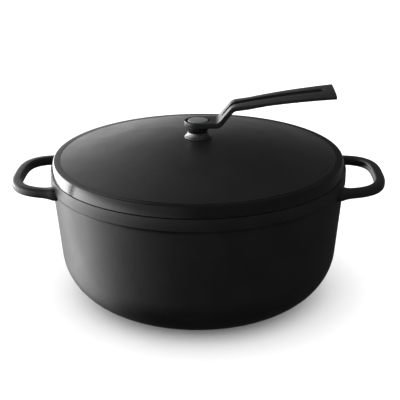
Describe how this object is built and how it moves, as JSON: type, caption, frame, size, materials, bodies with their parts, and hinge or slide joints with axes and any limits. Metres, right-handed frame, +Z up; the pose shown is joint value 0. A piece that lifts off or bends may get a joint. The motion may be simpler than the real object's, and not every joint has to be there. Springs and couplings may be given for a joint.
{
  "type": "cast iron dutch oven",
  "caption": "Round matte black cast iron pot with side loops and a domed lid that lifts off, carried by a slotted black lever that swivels on a stud above a flared steel foot.",
  "frame": {"origin": "middle of the flat base, on the surface the pot stands on", "axes": "+Z up along the axis of the pot, lid and stud; +X through the middle of both side loops and along the lever at rest; +Y to the back"},
  "size_m": [0.3684, 0.292, 0.2086],
  "materials": {
    "cast_iron": "matte black enamel with a fine cast texture",
    "black_steel": "satin black coating",
    "steel": "brushed",
    "fastener_steel": "plain stainless",
    "washer_polymer": "smooth, unpainted",
    "silicone": "matte"
  },
  "bodies": {
    "pot": {"pot_body": "cast_iron"},
    "lid_assembly": {"lid": "cast_iron", "foot_gasket": "silicone", "knob_foot": "steel", "knob_neck": "black_steel", "lower_washer": "washer_polymer", "upper_washer": "washer_polymer", "pivot_stud": "steel", "seal_washer": "silicone", "flat_washer": "fastener_steel", "lock_washer": "fastener_steel", "dome_nut": "fastener_steel"},
    "lever": {"lever": "black_steel"}
  },
  "joints": [
    {"name": "lid_lift", "type": "slide", "parent": "pot", "child": "lid_assembly", "axis": [0, 0, 1], "range_m": [0, 0.15]},
    {"name": "lever_swivel", "type": "hinge", "parent": "lid_assembly", "child": "lever", "pos_m": [0, 0, 0.175], "axis": [0, 0, 1], "continuous": true}
  ]
}
